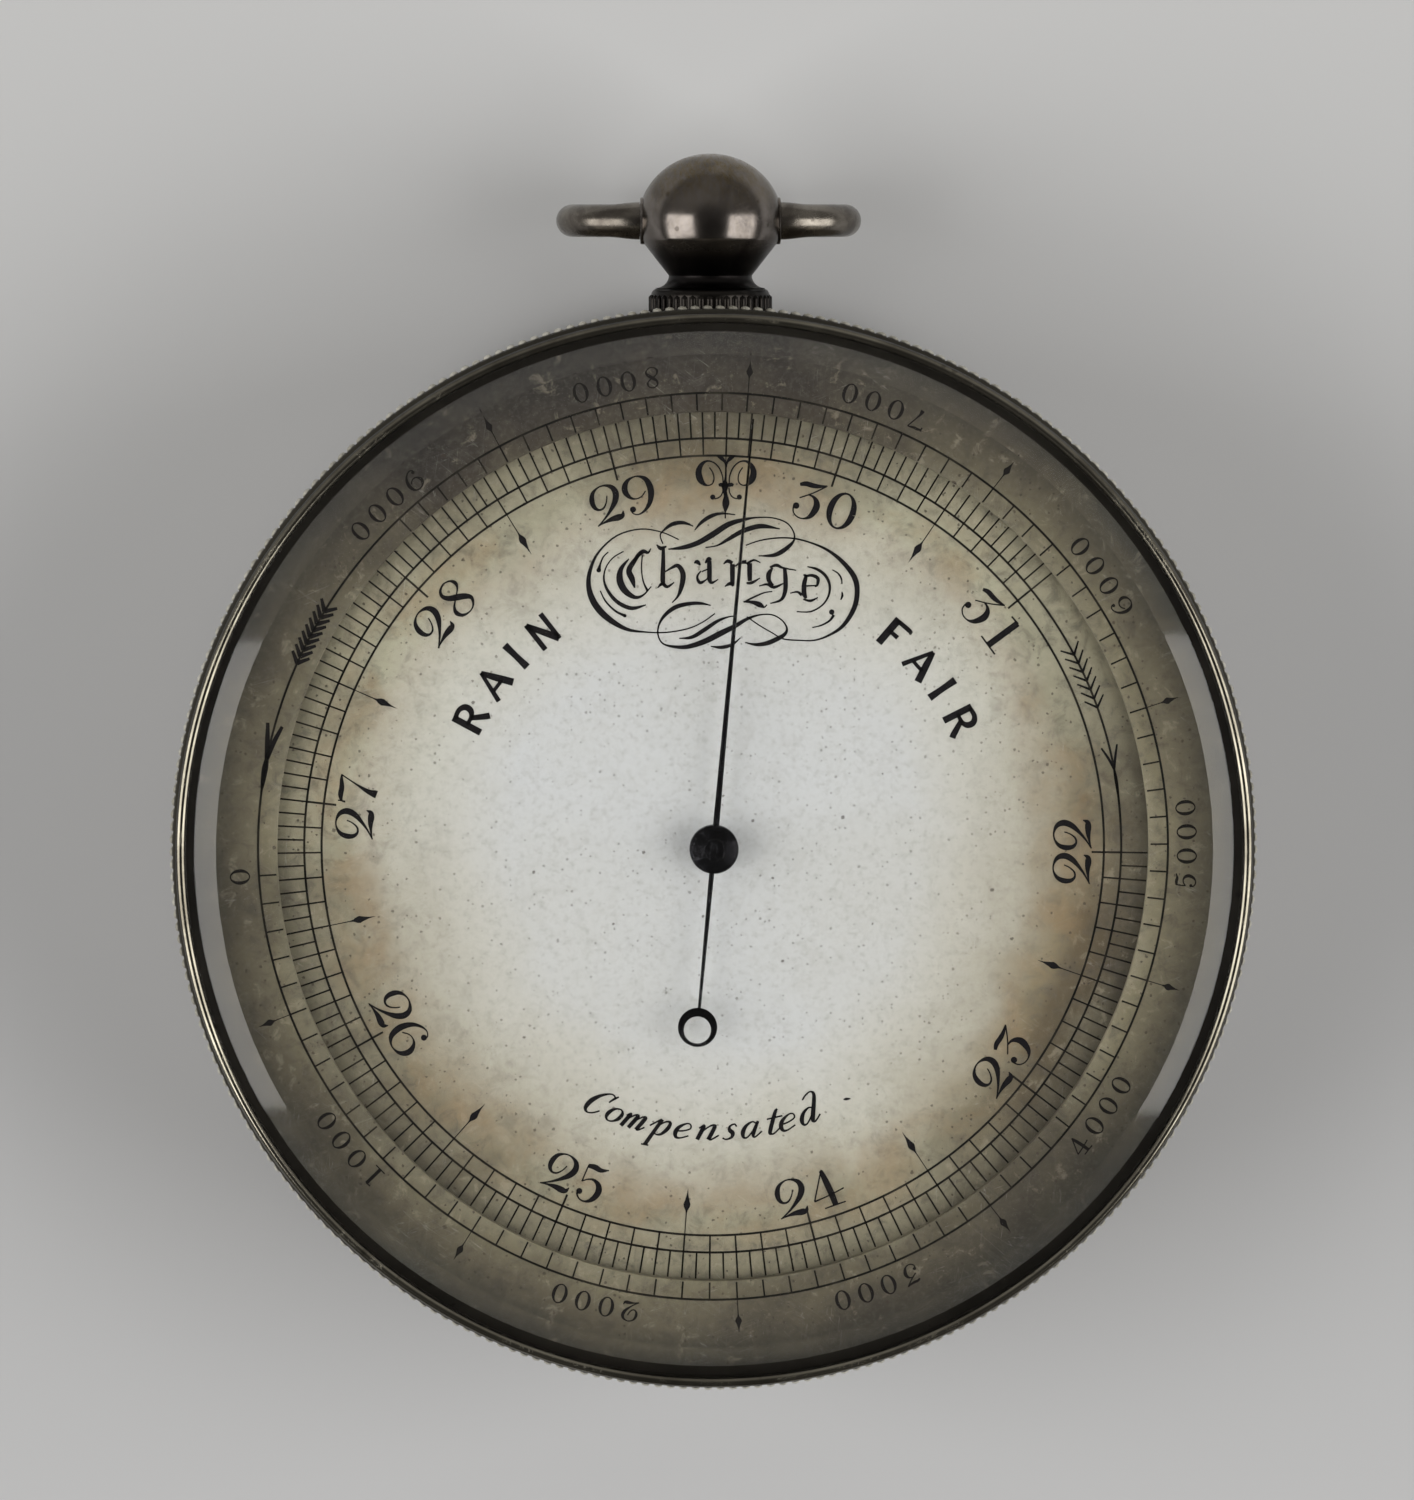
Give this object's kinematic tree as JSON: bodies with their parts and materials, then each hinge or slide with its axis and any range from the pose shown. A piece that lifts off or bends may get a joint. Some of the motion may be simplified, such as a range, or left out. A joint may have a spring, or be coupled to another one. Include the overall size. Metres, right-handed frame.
{
  "type": "pocket barometer",
  "caption": "Round pocket aneroid barometer: coin-milled bezel that turns the altitude ring, bevelled glass, ball pendant with a swinging oval bow, and a full aneroid movement.",
  "frame": {"origin": "middle of the flat back face, on the dial's axis", "axes": "+Z out of the dial, +Y from the middle towards the pendant (twelve o'clock), +X towards three o'clock"},
  "size_m": [0.064, 0.0729, 0.0224],
  "materials": {
    "case_metal": "silvered and polished, tarnished brown-grey",
    "bezel_metal": "silvered and polished, coin-milled edge, tarnished dark",
    "pendant_metal": "polished, tarnished brown",
    "bow_metal": "polished, tarnished dark",
    "glass": "polished, with a polished bevel",
    "silvered_dial": "silvered, foxed and tarnished",
    "blued_hand": "blued nearly black",
    "brass_plate": "grained and lacquered",
    "brass_part": "polished",
    "capsule_metal": "nickel silver, satin",
    "steel_part": "polished",
    "blued_screw": "blued"
  },
  "bodies": {
    "case": {"case_body": "case_metal", "pendant_collar": "pendant_metal", "pendant_ball": "pendant_metal", "pendant_nut": "brass_part", "dial": "silvered_dial", "dial_feet": "brass_part", "dial_pillars": "brass_part", "base_plate": "brass_plate", "plate_screws": "blued_screw", "capsule_lower": "capsule_metal", "capsule_upper": "capsule_metal", "capsule_stud": "brass_part", "main_spring": "steel_part", "spring_screws": "blued_screw", "spring_bridge": "brass_part", "bridge_cocks": "brass_part", "pivot_screws": "blued_screw", "rocker_cocks": "brass_part", "rocker_cock_screws": "blued_screw", "fusee_chain": "steel_part", "bridge_pillars": "brass_part", "arbor_bridge": "brass_plate", "pillar_screws": "blued_screw", "lower_cock": "brass_part", "lower_cock_screw": "blued_screw", "hairspring": "steel_part", "hairspring_stud": "brass_part"},
    "bezel": {"bezel": "bezel_metal", "crystal": "glass", "glass_ring": "silvered_dial", "altitude_ring": "silvered_dial"},
    "bow": {"bow": "bow_metal"},
    "adjuster": {"adjusting_screw": "brass_part"},
    "hand": {"hand_arbor": "steel_part", "chain_pulley": "brass_part", "hairspring_collet": "brass_part", "hand": "blued_hand"},
    "post": {"capsule_post": "brass_part", "knife_edge": "steel_part"},
    "main_lever": {"lever_arm": "brass_part", "compensating_strip": "steel_part", "lever_screws": "blued_screw"},
    "link": {"link_rod": "steel_part"},
    "rocker": {"rocking_arbor": "steel_part", "chain_arm": "brass_part", "link_arm": "brass_part"}
  },
  "joints": [
    {"name": "bezel_turn", "type": "hinge", "parent": "case", "child": "bezel", "pos_m": [0, 0, 0.0165], "axis": [0, 0, 1], "continuous": true},
    {"name": "bow_swing", "type": "hinge", "parent": "case", "child": "bow", "pos_m": [0, 0.0369, 0.0112], "axis": [1, 0, 0], "range_deg": [-25, 200]},
    {"name": "adjuster_turn", "type": "hinge", "parent": "case", "child": "adjuster", "pos_m": [0, -0.0215, 0.001], "axis": [0, 0, 1], "range_deg": [-360, 360]},
    {"name": "hand_turn", "type": "hinge", "parent": "case", "child": "hand", "pos_m": [0, 0, 0.0145], "axis": [0, 0, 1], "range_deg": [-50, 276], "stiffness_Nm_per_rad": 0.00005},
    {"name": "lever_tilt", "type": "hinge", "parent": "case", "child": "main_lever", "pos_m": [0, -0.0235, 0.0067], "axis": [1, 0, 0], "range_deg": [-0.3, 1.5], "stiffness_Nm_per_rad": 0.01, "springref_deg": 0.94, "deforming": ["main_spring", "capsule_upper"]},
    {"name": "post_pivot", "type": "hinge", "parent": "main_lever", "child": "post", "pos_m": [0, 0, 0.00965], "axis": [1, 0, 0], "range_deg": [-1.5, 0.3]},
    {"name": "link_swing", "type": "hinge", "parent": "main_lever", "child": "link", "pos_m": [0.00545, 0.02155, 0.00945], "axis": [1, 0, 0], "range_deg": [-1.5, 0.3]},
    {"name": "rocker_turn", "type": "hinge", "parent": "case", "child": "rocker", "pos_m": [0, 0.019, 0.006], "axis": [1, 0, 0], "range_deg": [-4.8, 26.2], "deforming": ["fusee_chain"]}
  ],
  "couplings": [
    {"joint": "rocker_turn", "follows": "hand_turn", "ratio": 0.0948},
    {"joint": "lever_tilt", "follows": "hand_turn", "ratio": 0.0054},
    {"joint": "link_swing", "follows": "hand_turn", "ratio": -0.0054},
    {"joint": "post_pivot", "follows": "hand_turn", "ratio": -0.0054}
  ]
}
